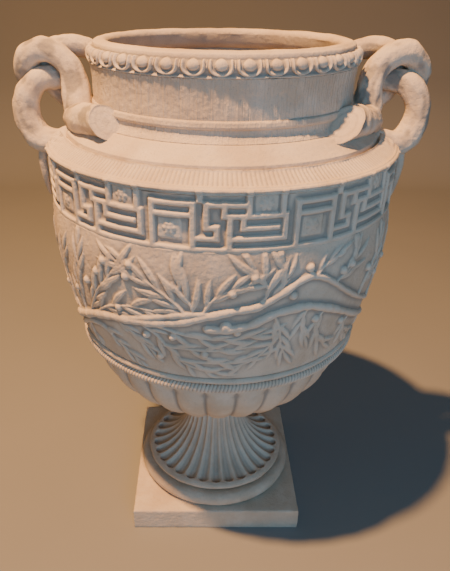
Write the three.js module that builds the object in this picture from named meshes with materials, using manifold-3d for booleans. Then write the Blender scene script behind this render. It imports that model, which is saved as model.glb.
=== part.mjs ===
// A standing amphora of pale fired clay, built up from turned rings, pressed ornament and branch handles.
// Lengths are in millimetres, +Z is up, and the origin is the centre of the plinth's underside.
// Angles run round the vase from the front (-Y) towards the right handle (+X).
import * as THREE from 'three';
import { mergeVertices } from 'three/addons/utils/BufferGeometryUtils.js';
import Module from 'manifold-3d';

const wasm = await Module();
wasm.setup();

// Driving dimensions
const GAP = 0.3;
const ROUND_STEPS = 40;
const WALL = 22;

const PLINTH_SIDE = 340;
const PLINTH_TOP = 50;
const PLINTH_BEVEL = 3;

const TORUS_RADIUS = 163;
const TORUS_TOP = 80;
const SOCLE_TOP = 236;
const SOCLE_NECK_RADIUS = 50;
const FLUTE_COUNT = 30;
const FLUTE_DEPTH = 5;
const COLLAR_TOP = 248;
const COLLAR_RADIUS = 62;

const BOWL_TOP = 434;
const BOWL_RADIUS = 238;
const GADROON_COUNT = 28;
const GADROON_DEPTH = 5;
const ROPE_HEIGHT = 424;
const ROPE_RADIUS = 9;
const ROPE_TURNS = 48;
const RIDGE_TOP = 446;
const RIDGE_RADIUS = 258;

const FRIEZE_TOP = 672;
const MEANDER_TOP = 748;
const MEANDER_GROUND = 278.5;
const MEANDER_FACE = 284;
const MEANDER_REPEATS = 9;
const SHOULDER_RADIUS = 286;
const NECK_FOOT = 795;
const NECK_RADIUS = 204;
const RIM_FOOT = 874;
const RIM_RADIUS = 212;
const RIM_TOP = 906;
const MOUTH_RADIUS = 176;
const EGG_COUNT = 36;
const EGG_DEPTH = 3;

const RADIAN = Math.PI / 180;

const CLAY = { color: 0xcdbfa8, roughness: 0.92, metalness: 0 };
const CLAY_SHADED = { color: 0xbdb09c, roughness: 0.95, metalness: 0 };
const CLAY_RELIEF = { color: 0xd6c6ab, roughness: 0.9, metalness: 0 };

// Welding gives one indexed shell with no collapsed triangles, facing out.
function weld(source) {
  const bare = source.clone();
  bare.deleteAttribute('normal');
  bare.deleteAttribute('uv');
  const welded = mergeVertices(bare, 1e-4);
  const old = welded.index.array;
  const kept = [];
  for (let i = 0; i < old.length; i += 3) {
    const [a, b, c] = [old[i], old[i + 1], old[i + 2]];
    if (a !== b && b !== c && c !== a) kept.push(a, b, c);
  }
  if (signedVolume(welded.attributes.position, kept) < 0) kept.reverse();
  welded.setIndex(kept);
  return welded;
}

function signedVolume(position, index) {
  const [a, b, c] = [new THREE.Vector3(), new THREE.Vector3(), new THREE.Vector3()];
  let total = 0;
  for (let i = 0; i < index.length; i += 3) {
    a.fromBufferAttribute(position, index[i]);
    b.fromBufferAttribute(position, index[i + 1]);
    c.fromBufferAttribute(position, index[i + 2]);
    total += a.dot(b.cross(c)) / 6;
  }
  return total;
}

function toManifold(geometry) {
  const welded = weld(geometry);
  const mesh = new wasm.Mesh({
    numProp: 3,
    vertProperties: new Float32Array(welded.attributes.position.array),
    triVerts: new Uint32Array(welded.index.array),
  });
  return new wasm.Manifold(mesh);
}

function fromManifold(solid) {
  const mesh = solid.getMesh();
  const geometry = new THREE.BufferGeometry();
  geometry.setAttribute('position', new THREE.BufferAttribute(new Float32Array(mesh.vertProperties), 3));
  geometry.setIndex(Array.from(mesh.triVerts));
  return weld(geometry);
}

function join(solids) {
  return solids.reduce((whole, next) => whole.add(next));
}

// Cutting can leave a loose chip: the piece that is kept is the largest one.
function largestPiece(solid) {
  const pieces = solid.decompose();
  return pieces.reduce((best, next) => (next.volume() > best.volume() ? next : best));
}

// A ring or disc turned round the Z axis from [radius, height] points.
function turned(profile, steps = ROUND_STEPS) {
  const points = profile.map(([radius, height]) => new THREE.Vector2(radius, height));
  const geometry = new THREE.LatheGeometry(points, steps);
  geometry.rotateX(Math.PI / 2);
  return weld(geometry);
}

// Closes an outline on itself, for a ring with a hole through it.
function closed(profile) {
  return [...profile, profile[0]];
}

// Points round an ellipse, from one angle to another (degrees, 0 is outwards and 90 is up).
function arc(centreRadius, centreHeight, halfWidth, halfHeight, from, to, count) {
  const points = [];
  for (let i = 0; i <= count; i += 1) {
    const angle = (from + ((to - from) * i) / count) * RADIAN;
    points.push([centreRadius + halfWidth * Math.cos(angle), centreHeight + halfHeight * Math.sin(angle)]);
  }
  return points;
}

// Moves each vertex in or out by a relief given as a function of angle, radius and height.
function carve(geometry, relief) {
  const position = geometry.attributes.position;
  for (let i = 0; i < position.count; i += 1) {
    const x = position.getX(i);
    const y = position.getY(i);
    const radius = Math.hypot(x, y);
    if (radius > 1) {
      const scale = 1 + relief(Math.atan2(x, -y), radius, position.getZ(i)) / radius;
      position.setXY(i, x * scale, y * scale);
    }
  }
  return geometry;
}

function onWall(angle, radius, height) {
  return new THREE.Vector3(
    radius * Math.sin(angle * RADIAN),
    -radius * Math.cos(angle * RADIAN),
    height,
  );
}

// A bar with an even number of sides along a smooth curve, closed at both ends.
function bar(points, radius, steps, sides = 8) {
  const section = new THREE.Shape();
  section.absarc(0, 0, radius, 0, 2 * Math.PI);
  return new THREE.ExtrudeGeometry(section, {
    steps,
    curveSegments: sides / 2,
    bevelEnabled: false,
    extrudePath: new THREE.CatmullRomCurve3(points),
  });
}

// Outer outlines of the turned sections, from the bottom up.
const FRIEZE_OUTLINE = [
  [254, RIDGE_TOP + GAP],
  [265, 490],
  [275, 540],
  [283, 590],
  [287, 636],
  [284, FRIEZE_TOP],
];
const SHOULDER_OUTLINE = [
  [SHOULDER_RADIUS - 3, MEANDER_TOP + GAP],
  [SHOULDER_RADIUS, MEANDER_TOP + 3],
  [SHOULDER_RADIUS - 2, MEANDER_TOP + 7],
  [253, 774],
  [250.5, 771.5],
  [248, 777],
  [217, NECK_FOOT],
];
const NECK_OUTLINE = [
  [214, NECK_FOOT + GAP],
  [NECK_RADIUS + 1, 808],
  [NECK_RADIUS + 1, 826],
  [NECK_RADIUS, 848],
  [206, RIM_FOOT - GAP],
];

function plinth() {
  const half = PLINTH_SIDE / 2 - PLINTH_BEVEL;
  const square = new THREE.Shape([
    new THREE.Vector2(-half, -half),
    new THREE.Vector2(half, -half),
    new THREE.Vector2(half, half),
    new THREE.Vector2(-half, half),
  ]);
  const slab = new THREE.ExtrudeGeometry(square, {
    depth: PLINTH_TOP - 2 * PLINTH_BEVEL,
    bevelThickness: PLINTH_BEVEL,
    bevelSize: PLINTH_BEVEL,
    bevelSegments: 2,
  });
  slab.translate(0, 0, PLINTH_BEVEL);
  return slab;
}

function baseTorus() {
  const low = PLINTH_TOP + GAP;
  const half = (TORUS_TOP - low) / 2;
  return turned([
    [0, low],
    ...arc(TORUS_RADIUS - 14, low + half, 14, half, -90, 90, 6),
    [0, TORUS_TOP],
  ]);
}

// The trumpet foot, with a fillet at its base and hollow flutes that end round above it.
function socle() {
  const low = TORUS_TOP + GAP;
  const trumpetFoot = 98;
  const fluteFoot = 104;
  const fluteHead = 226;
  const trumpet = arc(138, SOCLE_TOP, 138 - SOCLE_NECK_RADIUS, SOCLE_TOP - trumpetFoot, -90, -180, 8);
  const blank = turned([
    [0, low],
    [140, low],
    [140, 86],
    [146, 88],
    [146, 94],
    ...trumpet,
    [0, SOCLE_TOP],
  ], FLUTE_COUNT * 3);
  return carve(blank, (angle, radius, height) => {
    if (height < fluteFoot || height > fluteHead) return 0;
    const along = Math.sin((Math.PI * (height - fluteFoot)) / (fluteHead - fluteFoot)) ** 0.5;
    const across = 0.5 + 0.5 * Math.cos(FLUTE_COUNT * angle);
    return (-FLUTE_DEPTH * along * across * radius) / 138;
  });
}

function footCollar() {
  const low = SOCLE_TOP + GAP;
  const half = (COLLAR_TOP - low) / 2;
  return turned([
    [0, low],
    ...arc(COLLAR_RADIUS - 6, low + half, 6, half, -90, 90, 4),
    [0, COLLAR_TOP],
  ]);
}

// The lower bowl: swelling gadroons outside, smooth inside, and a plain collar that seats the rope.
function lowerBowl() {
  const low = COLLAR_TOP + GAP;
  const collarFoot = 408;
  const innerDepth = 190;
  const outside = arc(0, collarFoot, BOWL_RADIUS + 2, collarFoot - low, -75.5, -6, 7);
  const inside = arc(0, BOWL_TOP, BOWL_RADIUS - WALL, BOWL_TOP - low - WALL, 0, -90, 5);
  const blank = turned([
    [0, low],
    [56, low],
    ...outside,
    [BOWL_RADIUS, collarFoot],
    [BOWL_RADIUS, BOWL_TOP],
    ...inside,
  ], GADROON_COUNT * 3);
  return carve(blank, (angle, radius, height) => {
    const depth = (BOWL_TOP - height) / innerDepth;
    const inner = radius < (BOWL_RADIUS - WALL) * Math.sqrt(Math.max(0, 1 - depth ** 2));
    if (inner || height < low + 6 || height > collarFoot - 12) return 0;
    const across = 0.5 - 0.5 * Math.cos(GADROON_COUNT * angle);
    return (-GADROON_DEPTH * across * radius) / BOWL_RADIUS;
  });
}

// A ring of twisted strands: the section is three-lobed and turns as it goes round.
function ropeMoulding() {
  const ringRadius = BOWL_RADIUS + 1 + ROPE_RADIUS;
  const stepsRound = 96;
  const sides = 5;
  const ring = new THREE.TorusGeometry(ringRadius, ROPE_RADIUS, sides, stepsRound);
  ring.translate(0, 0, ROPE_HEIGHT);
  const rope = weld(ring);
  const position = rope.attributes.position;
  for (let i = 0; i < position.count; i += 1) {
    const x = position.getX(i);
    const y = position.getY(i);
    const round = Math.atan2(x, -y);
    const out = Math.hypot(x, y) - ringRadius;
    const up = position.getZ(i) - ROPE_HEIGHT;
    const lobe = 0.86 + 0.14 * Math.cos(2 * (Math.atan2(up, out) - (round * ROPE_TURNS) / 2));
    const radius = ringRadius + out * lobe;
    position.setXYZ(i, radius * Math.sin(round), -radius * Math.cos(round), ROPE_HEIGHT + up * lobe);
  }
  return rope;
}

function ridgeRing() {
  const low = BOWL_TOP + GAP;
  const half = (RIDGE_TOP - low) / 2;
  return turned(closed([
    [BOWL_RADIUS - WALL, low],
    ...arc(RIDGE_RADIUS - 7, low + half, 7, half, -90, 90, 4),
    [BOWL_RADIUS - WALL, RIDGE_TOP],
  ]));
}

function friezeWall() {
  const inside = FRIEZE_OUTLINE.map(([radius, height]) => [radius - WALL, height]).reverse();
  return turned(closed([...FRIEZE_OUTLINE, ...inside]));
}

// A raised bar on the key band, square in section and bent round the wall.
function keyBar(from, to, low, high) {
  const steps = Math.max(1, Math.ceil((to - from) / 5));
  const outline = [];
  for (let i = 0; i <= steps; i += 1) outline.push([MEANDER_FACE, from + ((to - from) * i) / steps]);
  for (let i = steps; i >= 0; i -= 1) outline.push([MEANDER_GROUND - 3, from + ((to - from) * i) / steps]);
  const shape = new THREE.Shape(outline.map(([radius, angle]) => {
    const point = onWall(angle, radius, 0);
    return new THREE.Vector2(point.x, point.y);
  }));
  const block = new THREE.ExtrudeGeometry(shape, { depth: high - low, bevelEnabled: false });
  block.translate(0, 0, low);
  return toManifold(block);
}

// One repeat of the key band: upright and level bars, and square panels set high and low in turn.
const KEY_HALF_WIDTH = 0.65;
const KEY_HALF_HEIGHT = 2.6;
const KEY_UPRIGHTS = [
  [-4.8, 720, 745], [4.8, 720, 745],
  [7.6, 675, 719], [17, 675, 719],
  [-9.2, 690, 738], [22, 690, 745],
];
const KEY_LEVELS = [
  [-4.8, 4.8, 720], [-9.2, 7.6, 691],
  [4.8, 17.6, 737], [7.6, 17, 719], [17, 22, 691],
];
const KEY_PANELS = [[0, 733], [12.3, 698]];

function meanderBand() {
  const low = FRIEZE_TOP + GAP;
  const ground = toManifold(turned(closed([
    [MEANDER_GROUND, low],
    [MEANDER_GROUND, MEANDER_TOP],
    [MEANDER_GROUND - WALL + 4, MEANDER_TOP],
    [MEANDER_GROUND - WALL + 4, low],
  ])));
  const parts = [ground];
  const pitch = 360 / MEANDER_REPEATS;
  for (let i = 0; i < MEANDER_REPEATS; i += 1) {
    const start = 10.5 + i * pitch;
    for (const [angle, from, to] of KEY_UPRIGHTS) {
      parts.push(keyBar(start + angle - KEY_HALF_WIDTH, start + angle + KEY_HALF_WIDTH, from, to));
    }
    for (const [from, to, height] of KEY_LEVELS) {
      parts.push(keyBar(start + from, start + to, height - KEY_HALF_HEIGHT, height + KEY_HALF_HEIGHT));
    }
    for (const [angle, height] of KEY_PANELS) {
      const boss = new THREE.OctahedronGeometry(1, 0);
      boss.scale(9, 3.5, 9);
      boss.rotateZ((start + angle) * RADIAN);
      const centre = onWall(start + angle, MEANDER_GROUND, height);
      boss.translate(centre.x, centre.y, centre.z);
      parts.push(toManifold(boss));
    }
  }
  return fromManifold(join(parts));
}

function shoulder() {
  const inside = [[NECK_RADIUS - 14, NECK_FOOT], [250, 762], [262, MEANDER_TOP + GAP]];
  return turned(closed([...SHOULDER_OUTLINE, ...inside]));
}

function neck() {
  const wall = 18;
  const inside = NECK_OUTLINE.map(([radius, height]) => [Math.min(radius, NECK_RADIUS) - wall, height]);
  return turned(closed([...NECK_OUTLINE, ...inside.reverse()]));
}

// A low half-round ring that sits on the neck.
function neckRidge() {
  const height = 817;
  const seat = NECK_RADIUS + 1 + 1.5 * GAP;
  return turned(closed([
    [seat, height - 6],
    ...arc(seat + 1, height, 6, 5, -80, 80, 3),
    [seat, height + 6],
  ]));
}

// The rolled rim: a bulging face cut with eggs and darts, a smooth crest and a straight mouth.
function rim() {
  const eggLow = RIM_FOOT + 2;
  const eggHigh = 896;
  const outside = arc(RIM_RADIUS - 26, RIM_FOOT + 10, 26, 22, -12, 90, 6);
  const blank = turned(closed([
    [RIM_RADIUS - 8, RIM_FOOT],
    ...outside,
    [MOUTH_RADIUS + 4, RIM_TOP - 2],
    [MOUTH_RADIUS, RIM_TOP - 8],
    [MOUTH_RADIUS + 8, RIM_FOOT],
  ]), EGG_COUNT * 3);
  return carve(blank, (angle, radius, height) => {
    if (radius < RIM_RADIUS - 14 || height < eggLow || height > eggHigh) return 0;
    return -EGG_DEPTH * (0.5 - 0.5 * Math.cos(EGG_COUNT * (angle + 2.8 * RADIAN)));
  });
}

// Everything that the ornament and the handles lean on, grown by the gap.
function coreCutter() {
  const wall = [
    ...FRIEZE_OUTLINE.map(([radius, height]) => [radius + GAP, height]),
    [MEANDER_FACE + 1, FRIEZE_TOP + GAP],
    [MEANDER_FACE + 1, MEANDER_TOP],
    ...SHOULDER_OUTLINE.slice(1).map(([radius, height]) => [radius + GAP, height + GAP]),
    [NECK_RADIUS + 9.5, 806],
    [NECK_RADIUS + 9.5, 826],
    [NECK_RADIUS + 2, 834],
    [NECK_RADIUS + 2, 850],
    [RIM_RADIUS + 1.2, RIM_FOOT - GAP],
    [RIM_RADIUS + 1.2, RIM_FOOT + 16],
    [RIM_RADIUS - 12, RIM_TOP],
  ];
  return toManifold(turned([[0, RIDGE_TOP], ...wall, [0, RIM_TOP + 1]]));
}

const core = coreCutter();

// The wall's radius under the frieze, between the outline's points.
function friezeRadius(height) {
  for (let i = 1; i < FRIEZE_OUTLINE.length; i += 1) {
    const [radiusLow, low] = FRIEZE_OUTLINE[i - 1];
    const [radiusHigh, high] = FRIEZE_OUTLINE[i];
    if (height <= high) return radiusLow + ((radiusHigh - radiusLow) * (height - low)) / (high - low);
  }
  return FRIEZE_OUTLINE.at(-1)[0];
}

// A pointed leaf lying on the wall, from its foot out to its tip.
function leaf(angle, height, turn, length) {
  const blade = new THREE.SphereGeometry(1, 6, 3);
  blade.scale(length / 2, 4.5, 7);
  blade.translate(length / 2 - 4, 0, 0);
  blade.rotateY(-turn * RADIAN);
  blade.rotateZ(angle * RADIAN);
  const foot = onWall(angle, friezeRadius(height) + 1.5, height);
  blade.translate(foot.x, foot.y, foot.z);
  return toManifold(blade);
}

function olive(angle, height) {
  const fruit = new THREE.SphereGeometry(8.5, 6, 4);
  const centre = onWall(angle, friezeRadius(height) + 2, height);
  fruit.translate(centre.x, centre.y, centre.z);
  return toManifold(fruit);
}

// A bough of olive: a bent stem with leaves and fruit, all of it lying on the wall.
function boughStem(path, radius, turn) {
  const points = path.map(([angle, height]) => onWall(angle + turn, friezeRadius(height) + 2.5, height));
  return toManifold(bar(points, radius, 16, 6));
}

// Stems are [degrees, height] points. Leaves are [degrees, height, lean in degrees, length].
const UPPER_PATH = [
  [-64, 500], [-50, 528], [-36, 543], [-22, 553], [-8, 571], [4, 588], [13, 604],
  [19, 630], [27, 640], [38, 606], [50, 566], [62, 536],
];
const UPPER_LEAVES = [
  [-56, 514, 60, 40], [-46, 533, 110, 44], [-38, 541, 75, 52], [-29, 549, -50, 46], [-24, 552, 100, 50],
  [-12, 566, 118, 62], [-9, 570, 70, 58], [2, 586, 95, 44], [11, 599, 80, 50], [19, 628, 120, 34],
  [30, 634, 60, 26], [42, 594, 95, 50], [54, 555, 60, 44],
];
const UPPER_FRUIT = [[-32, 556], [-16, 551], [8, 604], [33, 618]];
const LOWER_PATH = [[-2, 551], [5, 558], [11, 574], [21, 588], [30, 578], [38, 556], [50, 528], [62, 504]];
const LOWER_LEAVES = [
  [3, 552, -120, 40], [9, 568, -85, 56], [13, 578, -70, 64], [22, 586, -95, 40], [32, 572, -60, 48],
  [39, 553, 20, 40], [45, 538, -100, 52], [56, 516, 30, 40],
];
const LOWER_FRUIT = [[-5, 547], [17, 573], [43, 522]];

// The lower bough is cut back where the upper one crosses it.
function boughPair(turn) {
  const grow = GAP + 0.1;
  const fitted = (stem, leaves, fruit) => join([
    stem,
    ...leaves.map(([angle, height, lean, length]) => leaf(angle + turn, height, lean, length)),
    ...fruit.map(([angle, height]) => olive(angle + turn, height)),
  ]).subtract(core);
  const upper = fitted(boughStem(UPPER_PATH, 7.5, turn), UPPER_LEAVES, UPPER_FRUIT);
  const upperGrown = join([
    upper,
    upper.translate([0, 0, grow]),
    upper.translate([0, 0, -grow]),
    upper.translate([grow, 0, 0]),
    upper.translate([-grow, 0, 0]),
    upper.translate([0, grow, 0]),
    upper.translate([0, -grow, 0]),
  ]);
  const lower = fitted(boughStem(LOWER_PATH, 7, turn), LOWER_LEAVES, LOWER_FRUIT).subtract(upperGrown);
  return [fromManifold(largestPiece(upper)), fromManifold(largestPiece(lower))];
}

// One handle on the +X side. Each branch is [name, points, radius, steps], nearest the front first.
const HANDLE = [
  ['ring_branch', [
    [250, 20, 838], [268, 5, 845], [292, -10, 842], [312, -18, 818],
    [313, -22, 788], [297, -27, 762], [268, -33, 756], [240, -42, 764],
  ], 20, 22],
  ['cut_stub', [
    [232, -40, 792], [218, -66, 797], [196, -104, 804], [166, -146, 809],
  ], 23, 6],
  ['arch_branch', [
    [220, -44, 776], [225, -33, 802], [229, -22, 838], [240, -14, 866],
    [264, -8, 885], [290, -4, 884], [310, 4, 866], [316, 14, 843],
  ], 18, 20],
  ['back_branch', [
    [202, 46, 862], [214, 44, 884], [240, 34, 893], [268, 26, 888], [285, 28, 864],
    [280, 34, 838], [258, 40, 812], [234, 44, 800], [206, 54, 795],
  ], 16, 22],
  ['root_twig', [
    [262, -30, 764], [284, -34, 756], [293, -36, 734], [293, -34, 700], [291, -24, 664],
  ], 9, 12],
];

function handle(side) {
  const pieces = [];
  let taken = core;
  for (const [name, path, radius, steps] of HANDLE) {
    const points = path.map(([x, y, z]) => new THREE.Vector3(side * x, y, z));
    const solid = largestPiece(toManifold(bar(points, radius, steps)).subtract(taken));
    pieces.push([name, fromManifold(solid)]);
    taken = taken.add(toManifold(bar(points, radius + GAP, steps)));
  }
  return pieces;
}

const group = new THREE.Group();

function add(name, geometry, finish) {
  const shell = weld(geometry);
  shell.computeVertexNormals();
  const mesh = new THREE.Mesh(shell, new THREE.MeshStandardMaterial(finish));
  mesh.name = name;
  group.add(mesh);
}

add('plinth', plinth(), CLAY);
add('base_torus', baseTorus(), CLAY);
add('fluted_socle', socle(), CLAY);
add('foot_collar', footCollar(), CLAY_SHADED);
add('gadrooned_bowl', lowerBowl(), CLAY);
add('rope_moulding', ropeMoulding(), CLAY_RELIEF);
add('ridge_ring', ridgeRing(), CLAY_SHADED);
add('frieze_wall', friezeWall(), CLAY);
add('meander_band', meanderBand(), CLAY_RELIEF);
add('shoulder', shoulder(), CLAY);
add('neck', neck(), CLAY);
add('neck_ridge', neckRidge(), CLAY_SHADED);
add('egg_and_dart_rim', rim(), CLAY_RELIEF);

for (const [name, turn] of [['front', 0], ['back', 180]]) {
  const [upper, lower] = boughPair(turn);
  add(`olive_bough_upper_${name}`, upper, CLAY_RELIEF);
  add(`olive_bough_lower_${name}`, lower, CLAY_RELIEF);
}

for (const [word, side] of [['right', 1], ['left', -1]]) {
  for (const [name, geometry] of handle(side)) add(`${name}_${word}`, geometry, CLAY);
}

export default group;
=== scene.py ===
"""A tall pale-clay amphora with branch handles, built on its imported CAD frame.

Outlines are [radius, height] points in millimetres. Angles run round the vase from the front (-Y) towards +X.
"""
import math

import bpy
import numpy as np
from mathutils import Matrix, Vector


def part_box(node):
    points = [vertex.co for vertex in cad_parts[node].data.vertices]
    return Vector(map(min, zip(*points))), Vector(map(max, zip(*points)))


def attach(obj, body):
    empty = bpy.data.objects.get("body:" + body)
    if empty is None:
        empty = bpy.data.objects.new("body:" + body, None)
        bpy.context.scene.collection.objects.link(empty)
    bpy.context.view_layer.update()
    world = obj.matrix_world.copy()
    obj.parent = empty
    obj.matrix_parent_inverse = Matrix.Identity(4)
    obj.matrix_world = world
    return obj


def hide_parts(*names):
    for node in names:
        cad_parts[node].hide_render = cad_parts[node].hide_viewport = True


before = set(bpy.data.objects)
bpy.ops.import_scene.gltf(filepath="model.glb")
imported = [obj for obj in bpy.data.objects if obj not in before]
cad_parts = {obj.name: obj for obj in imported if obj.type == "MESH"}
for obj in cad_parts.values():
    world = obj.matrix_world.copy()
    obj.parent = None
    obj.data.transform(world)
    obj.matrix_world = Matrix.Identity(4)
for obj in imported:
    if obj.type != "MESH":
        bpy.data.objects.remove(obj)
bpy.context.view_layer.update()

MM = 0.001
FULL_TURN = 2.0 * math.pi
SEED = 11


def top(node):
    """A CAD node's highest point, in millimetres."""
    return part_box(node)[1].z / MM


def foot(node):
    """A CAD node's lowest point, in millimetres."""
    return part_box(node)[0].z / MM


def reach(node):
    """How far a CAD node reaches along +X, in millimetres."""
    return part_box(node)[1].x / MM


# ---------------------------------------------------------------- camera


def make_camera():
    """The camera stands a little above the rim and looks down at the front of the vase."""
    sensor_mm = 36.0
    lens_mm = 36.4
    tilt_down = math.radians(31.35)
    roll = math.radians(0.53)
    swing = math.radians(-0.56)
    shift_right, shift_up = 0.035, 0.078
    place = Vector((-0.0246, -0.9868, 0.9819))
    data = bpy.data.cameras.new("camera")
    data.sensor_width = sensor_mm
    data.lens = lens_mm
    data.shift_x = shift_right
    data.shift_y = shift_up
    data.clip_start = 0.01
    camera = bpy.data.objects.new("camera", data)
    bpy.context.scene.collection.objects.link(camera)
    turn = Matrix.Rotation(swing, 4, "Z")
    look = Matrix.Rotation(math.pi / 2 - tilt_down, 4, "X") @ Matrix.Rotation(roll, 4, "Z")
    camera.matrix_world = turn @ Matrix.Translation(place) @ look
    bpy.context.scene.camera = camera


make_camera()

# ---------------------------------------------------------------- shared shape helpers


def make_waves(count, shortest, longest, seed):
    """Directions, frequencies and phases for a smooth hand-made unevenness."""
    draw = np.random.default_rng(seed)
    directions = draw.normal(size=(count, 3))
    directions /= np.linalg.norm(directions, axis=1)[:, None]
    lengths = np.exp(draw.uniform(math.log(shortest), math.log(longest), count))
    return directions * (FULL_TURN / lengths)[:, None], draw.uniform(0, FULL_TURN, count)


def unevenness(points, waves):
    """A smooth value of about -1 to 1 at each point."""
    vectors, phases = waves
    total = np.zeros(points.shape[:-1])
    for vector, phase in zip(vectors, phases):
        total += np.sin(points @ vector + phase)
    return total / math.sqrt(len(phases))


BROAD_WAVES = make_waves(14, 40, 160, 1)
FINE_WAVES = make_waves(24, 7, 24, 2)


def smooth_path(points, count):
    """A Catmull-Rom curve through the points, with evenly spaced samples."""
    points = np.asarray(points, float)
    padded = np.vstack([2 * points[0] - points[1], points, 2 * points[-1] - points[-2]])
    pieces = []
    for i in range(len(points) - 1):
        t = np.linspace(0, 1, 24, endpoint=False)[:, None]
        p0, p1, p2, p3 = padded[i:i + 4]
        pieces.append(0.5 * (2 * p1 + (p2 - p0) * t + (2 * p0 - 5 * p1 + 4 * p2 - p3) * t ** 2
                             + (3 * p1 - p0 - 3 * p2 + p3) * t ** 3))
    pieces.append(points[-1:])
    dense = np.vstack(pieces)
    along = np.concatenate([[0], np.cumsum(np.linalg.norm(np.diff(dense, axis=0), axis=1))])
    even = np.linspace(0, along[-1], count)
    return np.stack([np.interp(even, along, dense[:, k]) for k in range(dense.shape[1])], 1)


def resample(outline, step):
    """Points along a straight-sided outline, at most a step apart, that keep its corners."""
    result = [np.asarray(outline[0], float)]
    for start, end in zip(outline[:-1], outline[1:]):
        start = np.asarray(start, float)
        end = np.asarray(end, float)
        count = max(1, math.ceil(np.linalg.norm(end - start) / step))
        result.extend(start + (end - start) * k / count for k in range(1, count + 1))
    return np.array(result)


def ellipse(centre, half, start, end, count):
    """Points round part of an ellipse: 0 degrees is outwards and 90 is up."""
    angles = np.radians(np.linspace(start, end, count))
    return [(centre[0] + half[0] * math.cos(a), centre[1] + half[1] * math.sin(a)) for a in angles]


def make_mesh(name, vertices, faces, material, attributes=None):
    """A smooth-shaded object from numpy arrays, with named float values on its points."""
    mesh = bpy.data.meshes.new(name)
    mesh.vertices.add(len(vertices))
    mesh.vertices.foreach_set("co", np.asarray(vertices, np.float32).ravel() * MM)
    sizes = np.array([len(face) for face in faces]) if isinstance(faces, list) else np.full(len(faces), 4)
    flat = np.concatenate(faces) if isinstance(faces, list) else faces.ravel()
    mesh.loops.add(len(flat))
    mesh.loops.foreach_set("vertex_index", flat.astype(np.int32))
    mesh.polygons.add(len(sizes))
    starts = np.concatenate([[0], np.cumsum(sizes)[:-1]]).astype(np.int32)
    mesh.polygons.foreach_set("loop_start", starts)
    mesh.polygons.foreach_set("loop_total", sizes.astype(np.int32))
    mesh.polygons.foreach_set("use_smooth", np.ones(len(sizes), bool))
    mesh.update(calc_edges=True)
    for key, values in (attributes or {}).items():
        layer = mesh.attributes.new(key, "FLOAT", "POINT")
        layer.data.foreach_set("value", values.astype(np.float32).ravel())
    mesh.materials.append(material)
    made = bpy.data.objects.new(name, mesh)
    bpy.context.scene.collection.objects.link(made)
    return made


def grid_faces(rows, columns, wrap_rows):
    """Quads of a grid whose columns close round, and whose rows may close too. They face outwards."""
    last = rows if wrap_rows else rows - 1
    row = np.arange(last)[:, None]
    column = np.arange(columns)[None, :]
    up = (row + 1) % rows
    across = (column + 1) % columns
    corners = [row * columns + column, row * columns + across, up * columns + across, up * columns + column]
    return np.stack(np.broadcast_arrays(*corners), -1).reshape(-1, 4)


def blurred(field, passes, width=1):
    """A soft copy of a field that closes round in its columns."""
    result = field
    for _ in range(passes):
        result = (np.roll(result, width, 1) + result + np.roll(result, -width, 1)) / 3
        padded = np.pad(result, ((width, width), (0, 0)), "edge")
        result = (padded[:-2 * width] + result + padded[2 * width:]) / 3
    return result


def relief_shading_of(field):
    """Positive on raised edges and negative in crevices, in millimetres: the mask for painted highlight on
    edges and painted shade in crevices.
    """
    return field - blurred(field, 6, 2)


def turned(name, node, outline, inner, material, columns, relief=None, step=1.3, unevenness_mm=0.35):
    """A turned ring of clay: an outer outline with relief along its normal, and a plain inner outline."""
    outer = resample(outline, step)
    inner = np.asarray(inner, float).reshape(-1, 2)
    rows = len(outer)
    angles = np.arange(columns) * FULL_TURN / columns
    tangent = np.gradient(outer, axis=0)
    tangent /= np.linalg.norm(tangent, axis=1)[:, None]
    normal = np.stack([tangent[:, 1], -tangent[:, 0]], 1)
    height = np.zeros((rows, columns))
    if relief is not None:
        height = relief(np.broadcast_to(angles, (rows, columns)), outer[:, :1], outer[:, 1:2])
    radius = outer[:, :1]
    place = np.stack([
        radius * np.sin(angles),
        -radius * np.cos(angles),
        np.broadcast_to(outer[:, 1:2], (rows, columns)),
    ], -1)
    fade = np.clip(np.minimum(np.arange(rows), rows - 1 - np.arange(rows)) / 3.0, 0, 1)[:, None]
    uneven = unevenness_mm * (unevenness(place, BROAD_WAVES) + 0.4 * unevenness(place, FINE_WAVES)) * fade
    moved = height + uneven - unevenness_mm
    radii = radius + normal[:, :1] * moved
    heights = outer[:, 1:2] + normal[:, 1:2] * moved
    radii = np.vstack([radii, np.repeat(inner[:, :1], columns, 1)])
    heights = np.vstack([heights, np.repeat(inner[:, 1:2], columns, 1)])
    vertices = np.stack([radii * np.sin(angles), -radii * np.cos(angles), heights], -1).reshape(-1, 3)
    # Painted shade and highlight follow the relief. The inner outline gets none.
    relief_shading = np.vstack([relief_shading_of(height), np.zeros((len(inner), columns))])
    faces = grid_faces(len(radii), columns, True)
    made = make_mesh(name, vertices, faces, material, {"relief_shading": relief_shading})
    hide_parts(node)
    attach(made, "root")
    return made


# ---------------------------------------------------------------- clay materials


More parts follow.
